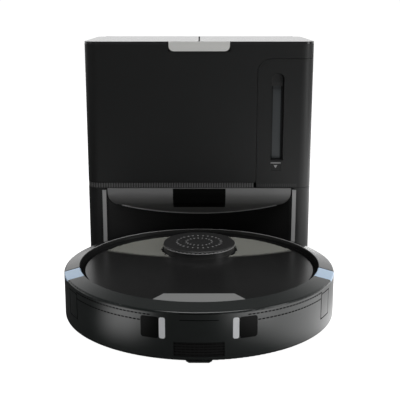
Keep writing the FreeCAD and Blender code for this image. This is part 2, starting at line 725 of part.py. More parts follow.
def dust_cup():
    gap = s.seam
    back = s.cup_back - gap
    shape = common(cup_outline(gap, (40, back)), footprint(0, (140, 330)))
    thick = 2.4
    inner = cut(common(cup_outline(gap + thick, (s.dock_front + thick, back - thick)),
                       footprint(thick, (140, 330))),
                block((99, 122), (40, 66.5), (163, 311)))
    slot = s.dock_front + 12
    grip = join(block((101.6, 119.2), (40, slot), (183, 298.2)), rod(8.8, (110.4, 298.2), (40, slot), "Y"))
    view = block((104.5, 115.7), (60, 68), (184.6, 288.3))
    latch_room = block((101.8, 116.5), (40, 60.3), (168.4, 180.6))
    mouth = rod(12, (s.duct_y, s.duct_end_z), (78, 86), "X")
    bottom = block((90, 150), (75, 165), (142, 149))
    node("dust_cup", cut(shape, inner, grip, view, latch_room, mouth, bottom))
    node("cup_window", block((104.5, 115.7), (slot + 0.4, 66.4), (184.6, 288.3)))
    node("cup_bottom_door", block((90, 150), (75, 165), (s.tower_top + gap, s.tower_top + gap + 2)))
    shroud = tube(22, 20, (124, 122), (215, s.cup_top - s.seam - thick))
    node("cyclone_shroud", shroud)
    node("cup_latch", block((102, 116.3), (s.dock_front + 0.2, 58), (168.6, 180.4)))


def duct_solid(radius):
    """The sloping leg of the suction duct as a plain bar."""
    start = Vector(0, SIZES["duct_y"], SIZES["port_z"])
    end = Vector(78, SIZES["duct_y"], SIZES["duct_end_z"])
    run = end - start
    leg = doc.addObject("Part::Cylinder", "leg")
    bind(leg, Radius=radius, Height=run.Length + 40)
    leg.Placement = Placement(Vector(0, 0, 0), Rotation(Vector(0, 0, 1), run))
    return bind(leg, Placement__Base__x=0, Placement__Base__y=s.duct_y, Placement__Base__z=s.port_z)


def air_path():
    bore = s.duct_radius - 2
    left_of_cup = block((-40, s.cup_left - 0.3), (100, 200), (0, 230))
    port_outer = block((-26, 26), (113.3, s.duct_y + 13), (s.port_z - 14, s.port_z + 14))
    port_inner = block((-24, 24), (110, s.duct_y + 11), (s.port_z - 11.5, s.port_z + 11.5))
    leg = common(duct_solid(s.duct_radius), left_of_cup)
    node("suction_duct", cut(join(port_outer, leg), port_inner, duct_solid(bore)))
    gasket = cut(block((-30, 30), (s.bay_radius + s.robot_y - 3.6, 109.6), (s.port_z - 15.5, s.port_z + 15.5)),
                 block((-24, 24), (95, 115), (s.port_z - 11.5, s.port_z + 11.5)))
    node("duct_gasket", common(gasket, bay_cylinder(0, (0, 80))))
    centre = (s.motor_x, s.motor_y)
    node("fan_motor", cut(rod(42, centre, (178.6, 240)), rod(4.05, centre, (170, 200))))
    blades = [rod(6, (s.motor_x + 34 * math.cos(math.radians(a)), s.motor_y + 34 * math.sin(math.radians(a))),
                  (160, 172)) for a in range(0, 360, 60)]
    node("fan_impeller", join(rod(46, centre, (157, 160.2)), rod(4, centre, (159, 199)), rod(10, centre, (159, 174)),
                              *blades))
    node("exhaust_filter", block((-128, 58), (92, 223), (299.2, 330)))


robot_casing()
bumper()
turret()
button()
insides()
brush_roll()
side_brush()
caster()
drive(1, "right")
drive(-1, "left")
tower()
hood()
dock_screws()
contacts()
upper_housing()
inner_frame()
vent_band()
lid()
dust_cup()
air_path()

doc.recompute()

for obj in doc.Objects:
    if "Invalid" in obj.State or "Error" in obj.State:
        raise RuntimeError(f"{obj.Name} ({obj.Label}) did not build: {obj.State}")
for obj in NODES:
    if obj.Shape.isNull() or not obj.Shape.isValid() or not obj.Shape.Solids:
        raise RuntimeError(f"{obj.Label} has no valid solid")

os.makedirs("parts", exist_ok=True)
for obj in NODES:
    obj.Shape.exportStep(f"parts/{obj.Label}.step")
    print(obj.Label, len(obj.Shape.Solids), round(obj.Shape.Volume / 1000, 2))
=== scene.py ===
import json
import math

import bpy
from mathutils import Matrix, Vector


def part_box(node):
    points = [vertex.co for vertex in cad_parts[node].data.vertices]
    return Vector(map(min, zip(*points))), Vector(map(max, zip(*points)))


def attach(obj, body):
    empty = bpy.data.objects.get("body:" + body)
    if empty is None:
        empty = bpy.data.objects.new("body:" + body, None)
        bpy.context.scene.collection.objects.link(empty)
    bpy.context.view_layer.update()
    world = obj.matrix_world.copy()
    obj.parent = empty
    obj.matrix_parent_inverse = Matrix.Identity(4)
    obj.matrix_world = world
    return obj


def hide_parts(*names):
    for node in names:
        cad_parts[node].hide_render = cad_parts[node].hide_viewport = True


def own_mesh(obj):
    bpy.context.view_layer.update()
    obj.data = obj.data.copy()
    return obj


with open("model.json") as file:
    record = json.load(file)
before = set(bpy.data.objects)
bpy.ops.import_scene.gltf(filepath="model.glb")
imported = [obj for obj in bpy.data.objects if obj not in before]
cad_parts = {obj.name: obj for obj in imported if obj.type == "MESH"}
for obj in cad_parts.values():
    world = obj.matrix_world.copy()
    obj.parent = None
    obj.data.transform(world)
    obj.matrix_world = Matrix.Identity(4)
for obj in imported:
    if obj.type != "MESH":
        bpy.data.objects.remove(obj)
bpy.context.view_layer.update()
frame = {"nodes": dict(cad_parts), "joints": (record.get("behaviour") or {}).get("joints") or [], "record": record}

MM = 0.001
PI = math.pi
UP = Vector((0, 0, 1))


# ---------------------------------------------------------------- places, all from the frame

def ends(node):
    """The low and the high corner of a sub-part's box."""
    low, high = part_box(node)
    return Vector(low), Vector(high)


def joint_place(name):
    """The point that a joint's axis runs through."""
    return Vector(next(joint for joint in frame["joints"] if joint["name"] == name)["pos_m"])


ROBOT_LOW, ROBOT_HIGH = ends("deck_plate")
ROBOT = Vector(((ROBOT_LOW.x + ROBOT_HIGH.x) / 2, (ROBOT_LOW.y + ROBOT_HIGH.y) / 2, 0.0))
DECK_RADIUS = (ROBOT_HIGH.x - ROBOT_LOW.x) / 2
DECK_TOP = ROBOT_HIGH.z
ROBOT_RADIUS = ROBOT.y - ends("bumper")[0].y
TURRET_LOW, TURRET_HIGH = ends("lidar_cap")
TURRET = (TURRET_LOW + TURRET_HIGH) / 2
TURRET_RADIUS = (TURRET_HIGH.x - TURRET_LOW.x) / 2
DOCK_LOW, DOCK_HIGH = ends("upper_housing")
DOCK_CORNER = 18 * MM
SHOULDER = 65 * MM  # the height from which the robot's moulded ring is polished


# ---------------------------------------------------------------- shader groups

def new_group(name, inputs, outputs):
    """An empty shader group with its sockets; inputs are (name, type, default)."""
    group = bpy.data.node_groups.new(name, "ShaderNodeTree")
    for label, kind, default in inputs:
        socket = group.interface.new_socket(label, in_out="INPUT", socket_type=kind)
        socket.default_value = default
    for label, kind in outputs:
        group.interface.new_socket(label, in_out="OUTPUT", socket_type=kind)
    return group, group.nodes.new("NodeGroupInput"), group.nodes.new("NodeGroupOutput")


def math_node(tree, operation, *operands, clamp=False):
    """A math node fed with numbers and sockets in order; its output."""
    node = tree.nodes.new("ShaderNodeMath")
    node.operation = operation
    node.use_clamp = clamp
    for socket, value in zip(node.inputs, operands):
        if isinstance(value, (int, float)):
            socket.default_value = value
        else:
            tree.links.new(value, socket)
    return node.outputs[0]


def noise(tree, coords, scale, detail):
    """A noise texture; its scale is a number or a socket."""
    node = tree.nodes.new("ShaderNodeTexNoise")
    node.inputs["Detail"].default_value = detail
    tree.links.new(coords, node.inputs["Vector"])
    if isinstance(scale, (int, float)):
        node.inputs["Scale"].default_value = scale
    else:
        tree.links.new(scale, node.inputs["Scale"])
    return node.outputs["Fac"]


def put_out(group, given, out, value, roughness, relief, depth, distance):
    """Feed a surface group's outputs: the base colour at a value, a roughness and a bump."""
    colour = group.nodes.new("ShaderNodeHueSaturation")
    group.links.new(given.outputs["Base"], colour.inputs["Color"])
    group.links.new(value, colour.inputs["Value"])
    group.links.new(colour.outputs["Color"], out.inputs["Color"])
    group.links.new(roughness, out.inputs["Roughness"])
    bump = group.nodes.new("ShaderNodeBump")
    bump.inputs["Distance"].default_value = distance
    group.links.new(given.outputs[depth], bump.inputs["Strength"])
    group.links.new(relief, bump.inputs["Height"])
    group.links.new(bump.outputs["Normal"], out.inputs["Normal"])


def moulded_group():
    """Moulded plastic: a fine spark-eroded grain, faint flow patches, rubbed places and a polish
    that starts at a height."""
    patch_scale, rub_scale = 14.0, 55.0
    mean_value, polish_blend, grain_height = 1.5, 1.5 * MM, 0.2 * MM
    group, given, out = new_group(
        "moulded_surface",
        [("Base", "NodeSocketColor", (0.03, 0.03, 0.03, 1)), ("Patchiness", "NodeSocketFloat", 0.15),
         ("Grain Scale", "NodeSocketFloat", 2500.0), ("Grain Depth", "NodeSocketFloat", 0.1),
         ("Roughness", "NodeSocketFloat", 0.4), ("Rub", "NodeSocketFloat", 0.08),
         ("Polish From", "NodeSocketFloat", 9.0), ("Polish", "NodeSocketFloat", 0.0)],
        [("Color", "NodeSocketColor"), ("Roughness", "NodeSocketFloat"), ("Normal", "NodeSocketVector")])
    coords = group.nodes.new("ShaderNodeTexCoord").outputs["Object"]
    height = group.nodes.new("ShaderNodeSeparateXYZ")
    group.links.new(coords, height.inputs[0])
    above = math_node(group, "SUBTRACT", height.outputs["Z"], given.outputs["Polish From"])
    above = math_node(group, "MULTIPLY", above, 1.0 / polish_blend, clamp=True)
    polish = math_node(group, "MULTIPLY", above, given.outputs["Polish"])
    patches = math_node(group, "SUBTRACT", noise(group, coords, patch_scale, 4.0), 0.5)
    rubbed = math_node(group, "SUBTRACT", noise(group, coords, rub_scale, 5.0), 0.5)
    grain = noise(group, coords, given.outputs["Grain Scale"], 1.0)
    value = math_node(group, "MULTIPLY_ADD", patches, given.outputs["Patchiness"], mean_value)
    rough = math_node(group, "MULTIPLY_ADD", rubbed, given.outputs["Rub"], given.outputs["Roughness"])
    rough = math_node(group, "SUBTRACT", rough, polish)
    put_out(group, given, out, value, rough, grain, "Grain Depth", grain_height)
    return group


def drawn_group():
    """Drawn or brushed metal: long fine lines that run along one axis."""
    line_height = 0.1 * MM
    group, given, out = new_group(
        "drawn_lines",
        [("Base", "NodeSocketColor", (0.6, 0.6, 0.6, 1)),
         ("Stretch", "NodeSocketVector", (20.0, 2000.0, 2000.0)),
         ("Depth", "NodeSocketFloat", 0.1), ("Roughness", "NodeSocketFloat", 0.3)],
        [("Color", "NodeSocketColor"), ("Roughness", "NodeSocketFloat"), ("Normal", "NodeSocketVector")])
    coords = group.nodes.new("ShaderNodeTexCoord").outputs["Object"]
    stretch = group.nodes.new("ShaderNodeVectorMath")
    stretch.operation = "MULTIPLY"
    group.links.new(coords, stretch.inputs[0])
    group.links.new(given.outputs["Stretch"], stretch.inputs[1])
    lines = noise(group, stretch.outputs["Vector"], 1.0, 2.0)
    value = math_node(group, "MULTIPLY_ADD", lines, 0.3, 0.85)
    uneven = math_node(group, "SUBTRACT", lines, 0.5)
    rough = math_node(group, "MULTIPLY_ADD", uneven, 0.25, given.outputs["Roughness"])
    put_out(group, given, out, value, rough, lines, "Depth", line_height)
    return group


MOULDED = moulded_group()
DRAWN = drawn_group()


def surface(name, group, values, **shader_values):
    """A material whose colour, roughness and normal come from a shader group."""
    material = bpy.data.materials.new(name)
    material.use_nodes = True
    tree = material.node_tree
    shader = next(node for node in tree.nodes if node.type == "BSDF_PRINCIPLED")
    place = tree.nodes.new("ShaderNodeGroup")
    place.node_tree = group
    for label, value in values.items():
        place.inputs[label].default_value = value
    for label, socket in (("Color", "Base Color"), ("Roughness", "Roughness"), ("Normal", "Normal")):
        tree.links.new(place.outputs[label], shader.inputs[socket])
    for label, value in shader_values.items():
        shader.inputs[label.replace("_", " ")].default_value = value
    return material


def moulded(name, colour, roughness, patchiness=0.15, grain=0.1, scale=2500.0, rub=0.08, polish=None,
            **shader_values):
    """A moulded plastic, rubber or paper; polish is a height and how much smoother it is above."""
    values = {"Base": (*colour, 1), "Roughness": roughness, "Patchiness": patchiness, "Grain Depth": grain,
              "Grain Scale": scale, "Rub": rub}
    if polish:
        values["Polish From"], values["Polish"] = polish
    return surface(name, MOULDED, values, **shader_values)


def drawn(name, colour, roughness, stretch):
    """A drawn metal; stretch is how close the lines lie along each axis."""
    values = {"Base": (*colour, 1), "Roughness": roughness, "Stretch": stretch}
    return surface(name, DRAWN, values, Metallic=1.0)


FINISH = {
    "dock_black": moulded("dock_satin", (0.0095, 0.0098, 0.0098), 0.45, Specular_IOR_Level=0.35),
    "dock_inner": moulded("dock_matt", (0.006, 0.006, 0.0062), 0.6, patchiness=0.2, grain=0.25,
                          Specular_IOR_Level=0.25),
    "lid_gloss": moulded("lid_polish", (0.02, 0.02, 0.021), 0.16, patchiness=0.05, grain=0.02,
                         scale=900.0, rub=0.04, Coat_Weight=0.12),
    "silver_trim": moulded("silver_satin", (0.50, 0.50, 0.485), 0.4, patchiness=0.06, grain=0.06,
                           scale=1800.0, rub=0.05),
    "smoke_clear": moulded("smoked_pane", (0.003, 0.0032, 0.003), 0.3, patchiness=0.1, grain=0.0,
                           scale=700.0, rub=0.03, Specular_IOR_Level=0.06),
    "robot_black": moulded("robot_satin", (0.017, 0.0172, 0.0172), 0.3, polish=(SHOULDER, 0.12)),
    "robot_inner": moulded("robot_matt", (0.05, 0.05, 0.052), 0.6, patchiness=0.2, grain=0.3),
    "blue_trim": moulded("pearl_blue", (0.31, 0.41, 0.53), 0.3, patchiness=0.06, grain=0.02, scale=700.0,
                         rub=0.03, Metallic=0.3),
    "rubber_black": moulded("soft_rubber", (0.012, 0.012, 0.012), 0.75, patchiness=0.25, grain=0.4,
                            scale=1400.0),
    "tyre_rubber": moulded("tyre_rubber", (0.02, 0.02, 0.02), 0.8, patchiness=0.3, grain=0.4,
                           scale=1100.0),
    "bright_bar": moulded("bright_plate", (0.55, 0.56, 0.57), 0.45, patchiness=0.06, grain=0.05,
                          scale=1800.0, rub=0.04),
    "motor_steel": drawn("drawn_can", (0.42, 0.42, 0.43), 0.35, (40.0, 40.0, 1800.0)),
    "brass_contact": drawn("contact_brass", (0.70, 0.52, 0.26), 0.3, (80.0, 1500.0, 1500.0)),
    "spring_steel": drawn("spring_steel", (0.5, 0.5, 0.5), 0.28, (900.0, 60.0, 900.0)),
    "board_green": moulded("board_resist", (0.01, 0.09, 0.035), 0.35, patchiness=0.25, grain=0.15,
                           scale=900.0),
    "battery_wrap": moulded("battery_wrap", (0.03, 0.05, 0.10), 0.38, patchiness=0.2, grain=0.15,
                            scale=300.0),
    "filter_paper": moulded("filter_paper", (0.72, 0.71, 0.66), 0.85, patchiness=0.12, grain=0.5,
                            scale=1500.0),
    "brush_rubber": moulded("vane_rubber", (0.045, 0.045, 0.05), 0.6, patchiness=0.2, grain=0.3,
                            scale=1200.0),
    "bristle": moulded("nylon_bristle", (0.03, 0.03, 0.032), 0.45, patchiness=0.3, grain=0.1,
                       scale=3000.0),
}
# Near-black strips of painted shade for seams, creases, the front pane's ribs and the lid groove.
SEAM_SHADE = moulded("seam_shadow", (0.002, 0.002, 0.002), 0.8, Specular_IOR_Level=0.05)
BUMPER_DARK = moulded("bumper_satin", (0.0115, 0.0135, 0.013), 0.29, grain=0.06, polish=(SHOULDER, 0.13))
# The hood is lifted to grey over the dock's black: painted light, standing in for the light its sloped face
# catches.
HOOD_PAINTED_LIGHT = moulded("hood_painted_light", (0.145, 0.145, 0.145), 0.42, patchiness=0.12)
# Light grey bead: a painted highlight on the rounded lower edge of the hood.
HOOD_RIM_HIGHLIGHT = moulded("hood_rim_painted_highlight", (0.5, 0.5, 0.5), 0.4, patchiness=0.12)
VENT_RIB = moulded("vent_rib_satin", (0.075, 0.075, 0.075), 0.45, patchiness=0.12)
# Light grey for painted highlights on thin edges of black parts (the pillar bevels, the turret's lip, the latch's
# top edge and the rear ring's inner edge); it also prints the latch's arrow.
HIGHLIGHT_AND_MARK_GREY = moulded("painted_highlight_and_mark_grey", (0.26, 0.26, 0.26), 0.42, patchiness=0.12)
TURRET_SATIN = moulded("turret_satin", (0.024, 0.024, 0.024), 0.3)
TUBE_WINDOW = moulded("cup_pane", (0.075, 0.082, 0.086), 0.3, patchiness=0.2, grain=0.03, scale=700.0,
                      rub=0.05)
DECK = moulded("deck_satin", (0.0115, 0.0115, 0.0115), 0.27, patchiness=0.04, grain=0.0, scale=700.0,
               rub=0.0)
# The inlay's rougher, dotted finish is real; its lift over the deck's black and the light grey of its dots are
# painted light, standing in for the light the texture catches.
INLAY = moulded("inlay_satin", (0.055, 0.056, 0.05), 0.5, patchiness=0.1, grain=0.12, scale=3500.0)
INLAY_DOT = moulded("inlay_dot", (0.30, 0.30, 0.27), 0.4, patchiness=0.1)
BUTTON = moulded("button_satin", (0.20, 0.202, 0.20), 0.4, patchiness=0.06, grain=0.06, scale=1800.0,
                 rub=0.05)
SLOT_CAP = moulded("slot_cap_satin", (0.035, 0.035, 0.035), 0.45, patchiness=0.12)
CUP_RIB = moulded("cup_rib_satin", (0.02, 0.02, 0.02), 0.45, patchiness=0.12)
MARK = moulded("mark_grey", (0.34, 0.34, 0.34), 0.45, patchiness=0.2)
# Near black for the robot's housing, which is seen only down the gap between the ring and the deck: painted shade
# in that groove.
GROOVE_SHADE = moulded("groove_painted_shade", (0.004, 0.004, 0.004), 0.7, Specular_IOR_Level=0.1)
FRONT_PANE = moulded("front_pane_satin", (0.009, 0.009, 0.009), 0.35, Specular_IOR_Level=0.2)
VENT_BACK = moulded("vent_band_satin", (0.02, 0.02, 0.02), 0.5, patchiness=0.12)

SLOT_OF = {entry["node"]: entry["material_slot"] for entry in frame["record"]["subparts"]}


def finish_cad_nodes():
    """Every carried-over sub-part gets a finish of its own or the finish of its slot."""
    own = {"bumper": BUMPER_DARK, "clean_button": BUTTON, "deck_inlay": INLAY, "deck_plate": DECK,
           "docking_hood": HOOD_PAINTED_LIGHT, "cup_window": TUBE_WINDOW, "lidar_cap": TURRET_SATIN,
           "lidar_window": TURRET_SATIN, "robot_housing": GROOVE_SHADE, "vent_band": VENT_BACK}
    for name, obj in frame["nodes"].items():
        material = own.get(name, FINISH[SLOT_OF[name]])
        for slot in obj.material_slots:
            slot.material = material


# ---------------------------------------------------------------- mesh helpers

def piece(name, verts, faces, material, body, replaced=()):
    """A piece from corners and faces, riding a body; a stage piece has no body."""
    mesh = bpy.data.meshes.new(name)
    mesh.from_pydata([tuple(v) for v in verts], [], faces)
    mesh.materials.append(material)
    mesh.validate()
    obj = bpy.data.objects.new(name, mesh)
    bpy.context.scene.collection.objects.link(obj)
    if body:
        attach(obj, body)
    if replaced:
        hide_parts(*replaced)
    return obj


def shade_smooth(obj, angle=35.0):
    """Smooth faces whose edges turn by less than the angle."""
    obj.data.shade_smooth()
    obj.data.set_sharp_from_angle(angle=math.radians(angle))
    return obj


def on_ring(radius, degrees, height):
    """A point on the robot's side; degrees run from the front towards the right."""
    turn = math.radians(degrees)
    return (ROBOT.x + radius * math.sin(turn), ROBOT.y - radius * math.cos(turn), height)


def curved_pad(name, angles, heights, corner, radii, material, body, replaced=(), flat_steps=10):
    """A closed plate with round corners that follows the robot's side."""
    (low_angle, high_angle), (low, high), (inner, outer) = angles, heights, radii
    middle = (low_angle + high_angle) / 2
    half = math.radians(high_angle - low_angle) / 2 * outer
    round_steps = 8
    round_stops = [-half + corner * (1 - math.cos(PI / 2 * step / round_steps))
                   for step in range(round_steps + 1)]
    flat_stops = [-half + corner + 2 * (half - corner) * step / flat_steps for step in range(1, flat_steps)]
    stops = round_stops + flat_stops + [-stop for stop in reversed(round_stops)]
    verts = []
    for stop in stops:
        past = max(0.0, abs(stop) - (half - corner))
        sag = corner - math.sqrt(max(corner * corner - past * past, 0.0))
        sag = min(sag, corner - 1e-6)
        angle = middle + math.degrees(stop / outer)
        verts += [on_ring(radius, angle, height) for radius in (inner, outer)
                  for height in (low + sag, high - sag)]
    return shade_smooth(piece(name, verts, strip_faces(len(stops)), material, body, replaced))


def strip_faces(count):
    """Faces of a closed strip of sections with four corners: inner low and high, outer low and high."""
    faces = []
    for section in range(count - 1):
        a, b = section * 4, section * 4 + 4
        faces += [(a + 2, b + 2, b + 3, a + 3), (a, a + 1, b + 1, b), (a + 3, b + 3, b + 1, a + 1),
                  (a, b, b + 2, a + 2)]
    last = (count - 1) * 4
    return faces + [(0, 2, 3, 1), (last, last + 1, last + 3, last + 2)]


# ---------------------------------------------------------------- geometry nodes: bars along a path

def new_tree(name, sizes, places=()):
    """An empty geometry nodes tree whose inputs are sizes, places and a material."""
    tree = bpy.data.node_groups.new(name, "GeometryNodeTree")
    face = tree.interface
    face.new_socket("Geometry", in_out="INPUT", socket_type="NodeSocketGeometry")
    for label, default in sizes:
        face.new_socket(label, in_out="INPUT", socket_type="NodeSocketFloat").default_value = default
    for label in places:
        face.new_socket(label, in_out="INPUT", socket_type="NodeSocketVector")
    face.new_socket("Material", in_out="INPUT", socket_type="NodeSocketMaterial")
    face.new_socket("Geometry", in_out="OUTPUT", socket_type="NodeSocketGeometry")
    return tree, tree.nodes.new("NodeGroupInput"), tree.nodes.new("NodeGroupOutput")


def painted_out(tree, given, out, spread):
    """Make the instances real, give them the tree's material and put them out."""
    real = tree.nodes.new("GeometryNodeRealizeInstances")
    tree.links.new(spread.outputs["Instances"], real.inputs["Geometry"])
    paint = tree.nodes.new("GeometryNodeSetMaterial")
    tree.links.new(real.outputs["Geometry"], paint.inputs["Geometry"])
    tree.links.new(given.outputs["Material"], paint.inputs["Material"])
    tree.links.new(paint.outputs["Geometry"], out.inputs["Geometry"])


def bars_tree():
    """Bars set along a path at an even pitch, each turned to its tangent and its outward side."""
    tree, given, out = new_tree(
        "bars_along_path", (("Pitch", 3.5 * MM), ("Along", 2 * MM), ("Across", 8 * MM), ("Out", 1 * MM)))
    nodes, links = tree.nodes, tree.links
    to_curve = nodes.new("GeometryNodeMeshToCurve")
    links.new(given.outputs["Geometry"], to_curve.inputs["Mesh"])
    resample = nodes.new("GeometryNodeResampleCurve")
    resample.mode = "LENGTH"
    links.new(to_curve.outputs["Curve"], resample.inputs["Curve"])
    links.new(given.outputs["Pitch"], resample.inputs["Length"])
    outward = nodes.new("GeometryNodeInputNamedAttribute")
    outward.data_type = "FLOAT_VECTOR"
    outward.inputs["Name"].default_value = "outward"
    tangent = nodes.new("GeometryNodeInputTangent")
    stand = nodes.new("FunctionNodeAlignRotationToVector")
    stand.axis = "Z"
    links.new(outward.outputs["Attribute"], stand.inputs["Vector"])
    turn = nodes.new("FunctionNodeAlignRotationToVector")
    turn.axis = "X"
    turn.pivot_axis = "Z"
    links.new(stand.outputs["Rotation"], turn.inputs["Rotation"])
    links.new(tangent.outputs["Tangent"], turn.inputs["Vector"])
    sizes = nodes.new("ShaderNodeCombineXYZ")
    for axis, label in zip("XYZ", ("Along", "Across", "Out")):
        links.new(given.outputs[label], sizes.inputs[axis])
    bar = nodes.new("GeometryNodeMeshCube")
    links.new(sizes.outputs["Vector"], bar.inputs["Size"])
    spread = nodes.new("GeometryNodeInstanceOnPoints")
    links.new(resample.outputs["Curve"], spread.inputs["Points"])
    links.new(bar.outputs["Mesh"], spread.inputs["Instance"])
    links.new(turn.outputs["Rotation"], spread.inputs["Rotation"])
    painted_out(tree, given, out, spread)
    return tree


def grown(name, mesh, tree, values, body):
    """A piece that a geometry nodes tree grows on a mesh, turned into a plain mesh."""
    obj = bpy.data.objects.new(name, mesh)
    bpy.context.scene.collection.objects.link(obj)
    modifier = obj.modifiers.new(tree.name, "NODES")
    modifier.node_group = tree
    ids = {item.name: item.identifier for item in tree.interface.items_tree
           if item.item_type == "SOCKET" and item.in_out == "INPUT"}
    for label, value in values.items():
        modifier[ids[label]] = value
    depsgraph = bpy.context.evaluated_depsgraph_get()
    depsgraph.update()
    plain = bpy.data.meshes.new_from_object(obj.evaluated_get(depsgraph))
    obj.modifiers.clear()
    obj.data = plain
    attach(obj, body)


BARS = bars_tree()


def bars(name, path, pitch, size, material, body, closed=False):
    """Bars along a path, which is points and their outward sides; size is along, across and out."""
    points, outward = path
    count = len(points)
    edges = [(i, (i + 1) % count) for i in range(count if closed else count - 1)]
    mesh = bpy.data.meshes.new(name)
    mesh.from_pydata([tuple(point) for point in points], edges, [])
    sides = mesh.attributes.new("outward", "FLOAT_VECTOR", "POINT")
    for item, side in zip(sides.data, outward):
        item.vector = tuple(side)
    along, across, out = size
    grown(name, mesh, BARS, {"Pitch": pitch, "Along": along, "Across": across, "Out": out,
                             "Material": material}, body)


def facing_up(points):
    """A path whose outward side is up."""
    return points, [UP] * len(points)


def circle_path(centre, radius, axis, steps=96):
    """Points and outward directions round a circle across an axis."""
    points, sides = [], []
    for step in range(steps):
        turn = 2 * PI * step / steps
        a, b = math.cos(turn), math.sin(turn)
        side = Vector((0, a, b)) if axis == "X" else Vector((a, b, 0))
        points.append(Vector(centre) + side * radius)
        sides.append(side)
    return points, sides


def arc_path(radius, low_angle, high_angle, height, steps=40):
    """Points and outward directions along a stretch of the robot's side."""
    points, sides = [], []
    for step in range(steps + 1):
        degrees = low_angle + (high_angle - low_angle) * step / steps
        point = Vector(on_ring(radius, degrees, height))
        points.append(point)
        sides.append(Vector((point.x - ROBOT.x, point.y - ROBOT.y, 0)).normalized())
    return points, sides


# ---------------------------------------------------------------- geometry nodes: dots on the inlay

def dots_tree():
    """Low round dots on a staggered grid, kept inside the deck and its rear arc, outside the turret."""
    tree, given, out = new_tree(
        "inlay_dots", (("Dot Radius", 0.6 * MM), ("Dot Height", 0.3 * MM), ("Deck Radius", 140 * MM),
                       ("Arc Radius", 270 * MM), ("Turret Radius", 50 * MM)),
        ("Deck Centre", "Arc Centre", "Turret Centre"))
    nodes, links = tree.nodes, tree.links
    position = nodes.new("GeometryNodeInputPosition")
    tests = []
    for label, operation in (("Deck", "LESS_THAN"), ("Arc", "LESS_THAN"), ("Turret", "GREATER_THAN")):
        away = nodes.new("ShaderNodeVectorMath")
        away.operation = "DISTANCE"
        links.new(position.outputs["Position"], away.inputs[0])
        links.new(given.outputs[label + " Centre"], away.inputs[1])
        test = nodes.new("FunctionNodeCompare")
        test.data_type = "FLOAT"
        test.operation = operation
        links.new(away.outputs["Value"], test.inputs["A"])
        links.new(given.outputs[label + " Radius"], test.inputs["B"])
        tests.append(test.outputs["Result"])
    inside = tests[0]
    for test in tests[1:]:
        both = nodes.new("FunctionNodeBooleanMath")
        both.operation = "AND"
        links.new(inside, both.inputs[0])
        links.new(test, both.inputs[1])
        inside = both.outputs[0]
    dot = nodes.new("GeometryNodeMeshCone")
    dot.inputs["Vertices"].default_value = 8
    links.new(given.outputs["Dot Height"], dot.inputs["Depth"])
    links.new(given.outputs["Dot Radius"], dot.inputs["Radius Bottom"])
    top_radius = math_node(tree, "MULTIPLY", given.outputs["Dot Radius"], 0.7)
    links.new(top_radius, dot.inputs["Radius Top"])
    spread = nodes.new("GeometryNodeInstanceOnPoints")
    links.new(given.outputs["Geometry"], spread.inputs["Points"])
    links.new(dot.outputs["Mesh"], spread.inputs["Instance"])
    links.new(inside, spread.inputs["Selection"])
    painted_out(tree, given, out, spread)
    return tree


def inlay_dots():
    """A staggered grid of light grey dots over the deck's rear inlay; their grey is a painted highlight on the dot
    tops.
    """
    low, high = ends("deck_inlay")
    pitch, arc_radius = 2.9 * MM, 275.4 * MM
    rows, columns = int((high.y - low.y) / pitch), int((high.x - low.x) / pitch)
    verts = [(low.x + (row % 2) * pitch / 2 + column * pitch, low.y + row * pitch, DECK_TOP)
             for row in range(rows + 1) for column in range(columns + 1)]
    mesh = bpy.data.meshes.new("deck_dots")
    mesh.from_pydata(verts, [], [])
    grown("deck_dots", mesh, dots_tree(), {
        "Dot Radius": 0.95 * MM, "Dot Height": 0.4 * MM, "Deck Radius": DECK_RADIUS - 4 * MM,
        "Arc Radius": arc_radius - 2 * MM, "Turret Radius": TURRET_RADIUS + 2.5 * MM,
        "Deck Centre": (ROBOT.x, ROBOT.y, DECK_TOP),
        "Arc Centre": (ROBOT.x, low.y + arc_radius, DECK_TOP),
        "Turret Centre": (TURRET.x, TURRET.y, DECK_TOP), "Material": INLAY_DOT}, "robot")


# ---------------------------------------------------------------- robot details

BUMPER_INNER = ROBOT_RADIUS - 2.6 * MM
LINE_RADIUS = ROBOT_RADIUS + 0.02 * MM  # fine lines stand proud of the bumper by this and half their depth
LINE_DEPTH = 0.16 * MM


def bumper_side(side, name):
    """The lens, the bright bar, the side panel and the broken feature lines of one side; the feature lines are
    near-black strips of painted shade.
    """
    def span(low, high):
        return (low, high) if side > 0 else (-high, -low)

    pane_outer = ROBOT_RADIUS + 0.12 * MM
    curved_pad(f"lens_{name}", span(14.95, 22.15), (34.2 * MM, 59.6 * MM), 3.2 * MM,
               (BUMPER_INNER, pane_outer), FINISH["smoke_clear"], "bumper",
               ("bumper_windows",))
    curved_pad(f"bright_bar_{name}", span(12.55, 14.9), (34.4 * MM, 59.4 * MM), 2.4 * MM,
               (BUMPER_INNER, pane_outer + 0.1 * MM), FINISH["bright_bar"], "bumper",
               flat_steps=4)
    curved_pad(f"side_panel_{name}", span(57.7, 65.0), (28.3 * MM, 58.8 * MM), 1.6 * MM,
               (BUMPER_INNER, ROBOT_RADIUS), BUMPER_DARK, "bumper")
    for height, reach in ((61.6, span(19, 57)), (54.0, span(23, 57))):
        bars(f"feature_line_{name}_{int(height)}", arc_path(LINE_RADIUS, *reach, height * MM), 5.0 * MM,
             (3.6 * MM, 1.4 * MM, LINE_DEPTH), SEAM_SHADE, "bumper")


